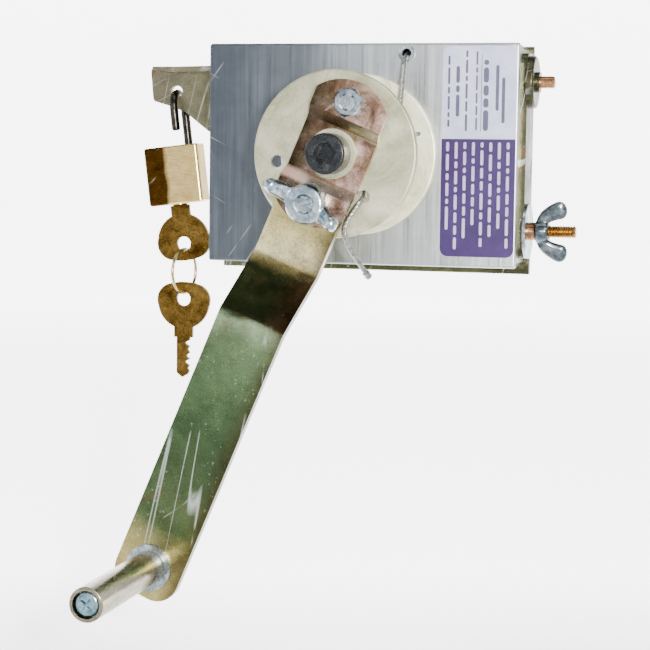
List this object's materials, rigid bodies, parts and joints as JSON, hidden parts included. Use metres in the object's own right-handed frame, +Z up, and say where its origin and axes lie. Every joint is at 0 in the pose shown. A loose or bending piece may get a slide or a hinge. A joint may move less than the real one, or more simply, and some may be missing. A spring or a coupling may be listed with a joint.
{
  "type": "hand-crank cable winch",
  "caption": "Hand-crank drum winch in a folded sheet housing, with a joggled crank and grip, a wire rope, wing-nut clamps and an open padlock with keys on a side tab.",
  "frame": {"origin": "on the back plate's rear face, in line with the drum's axle, at the middle of the housing", "axes": "+Z up, the drum and crank face -Y, the clamp bolts point to +X, the padlock tab to -X"},
  "size_m": [0.231, 0.1969, 0.2687],
  "materials": {
    "yellow_zinc_steel": "yellow chromate zinc plating, mottled gold to green",
    "copper_zinc_steel": "red-brown chromate zinc plating",
    "pale_zinc_steel": "pale cream chromate, satin",
    "bright_zinc_steel": "bright zinc plating",
    "aluminium_sheet": "brushed vertically, scratched",
    "label_print": "gloss print, plain",
    "copper_bolt": "copper-coloured plating",
    "gold_thread": "yellow chromate thread",
    "black_oxide": "black oxide, oiled",
    "bronze": "plain bearing bronze",
    "spring_steel": "plain spring steel",
    "friction_lining": "woven friction lining",
    "wire_rope": "galvanised seven-strand wire rope",
    "grip_steel": "turned and plated tube",
    "grip_plastic": "white bearing plastic",
    "padlock_brass": "polished, worn",
    "shackle_steel": "dark plated",
    "key_brass": "worn brass",
    "ring_steel": "brass-plated wire"
  },
  "bodies": {
    "frame": {"back_plate": "yellow_zinc_steel", "housing": "aluminium_sheet", "label": "label_print", "upper_clamp_bolt": "copper_bolt", "round_nut": "yellow_zinc_steel", "lower_clamp_bolt": "gold_thread", "bearing_plate": "bright_zinc_steel", "bearing_rivets": "bright_zinc_steel", "axle_bushing": "bronze", "rope_line": "wire_rope", "rope_stop": "bright_zinc_steel", "rope_grommet": "bright_zinc_steel"},
    "drum": {"rear_flange": "pale_zinc_steel", "front_flange": "pale_zinc_steel", "drum_hub": "pale_zinc_steel", "drum_pins": "bright_zinc_steel", "axle_screw": "black_oxide", "axle_washer": "pale_zinc_steel", "friction_washer": "friction_lining", "disc_springs": "spring_steel", "axle_lock_nut": "bright_zinc_steel", "crank_bracket": "copper_zinc_steel", "bracket_bolt": "bright_zinc_steel", "bracket_spacer": "bright_zinc_steel", "hex_nut": "bright_zinc_steel", "crank_stud": "bright_zinc_steel", "crank_arm": "yellow_zinc_steel", "grip_washer": "bright_zinc_steel", "grip_screw": "bright_zinc_steel", "grip_nut": "bright_zinc_steel", "rope_windings": "wire_rope", "rope_tail": "wire_rope", "tail_ferrule": "bright_zinc_steel"},
    "crank_clamp_washer": {"crank_washer": "bright_zinc_steel"},
    "crank_clamp_nut": {"crank_wing_nut": "bright_zinc_steel"},
    "grip": {"grip_tube": "grip_steel", "grip_bushings": "grip_plastic"},
    "side_clamp_washer": {"side_washer": "bright_zinc_steel", "side_collar": "copper_bolt"},
    "side_clamp_nut": {"side_wing_nut": "bright_zinc_steel"},
    "shackle": {"padlock_shackle": "shackle_steel"},
    "lock": {"padlock_body": "padlock_brass", "padlock_latch": "bright_zinc_steel"},
    "lock_key": {"padlock_plug": "padlock_brass", "key_in_lock": "key_brass"},
    "ring": {"key_ring": "ring_steel"},
    "hanging_key": {"spare_key": "key_brass"}
  },
  "joints": [
    {"name": "drum_spin", "type": "hinge", "parent": "frame", "child": "drum", "pos_m": [0, -0.05, 0], "axis": [0, -1, 0], "continuous": true},
    {"name": "crank_washer_slide", "type": "slide", "parent": "drum", "child": "crank_clamp_washer", "axis": [0, -1, 0], "range_m": [0, 0.00493]},
    {"name": "crank_nut_spin", "type": "hinge", "parent": "crank_clamp_washer", "child": "crank_clamp_nut", "pos_m": [-0.00984, -0.083, -0.02353], "axis": [0, -1, 0], "range_deg": [0, 1260]},
    {"name": "grip_spin", "type": "hinge", "parent": "drum", "child": "grip", "pos_m": [-0.08274, -0.128, -0.19779], "axis": [0, -1, 0], "continuous": true},
    {"name": "side_washer_slide", "type": "slide", "parent": "frame", "child": "side_clamp_washer", "axis": [1, 0, 0], "range_m": [0, 0.00507]},
    {"name": "side_nut_spin", "type": "hinge", "parent": "side_clamp_washer", "child": "side_clamp_nut", "pos_m": [0.09, -0.015, -0.0365], "axis": [1, 0, 0], "range_deg": [0, 1440]},
    {"name": "shackle_swing", "type": "hinge", "parent": "frame", "child": "shackle", "pos_m": [-0.105, -0.0015, 0.03047], "axis": [0, 1, 0], "range_deg": [-5, 45]},
    {"name": "padlock_swivel", "type": "hinge", "parent": "shackle", "child": "lock", "pos_m": [-0.10256, 0.007, 0.01062], "axis": [-0.1219, 0, 0.9925], "range_deg": [-90, 90]},
    {"name": "key_turn", "type": "hinge", "parent": "lock", "child": "lock_key", "pos_m": [-0.10649, 0.007, -0.02714], "axis": [-0.1219, 0, 0.9925], "range_deg": [0, 90]},
    {"name": "ring_swing", "type": "hinge", "parent": "lock_key", "child": "ring", "pos_m": [-0.10391, 0.007, -0.0511], "axis": [0.2079, 0.9781, 0], "range_deg": [-35, 35]},
    {"name": "spare_key_swing", "type": "hinge", "parent": "ring", "child": "hanging_key", "pos_m": [-0.10391, 0.007, -0.0745], "axis": [0.2079, 0.9781, 0], "range_deg": [-40, 40]}
  ],
  "couplings": [
    {"joint": "crank_nut_spin", "follows": "crank_washer_slide", "rad_per_m": 4456.2},
    {"joint": "side_nut_spin", "follows": "side_washer_slide", "rad_per_m": 4947.4}
  ]
}
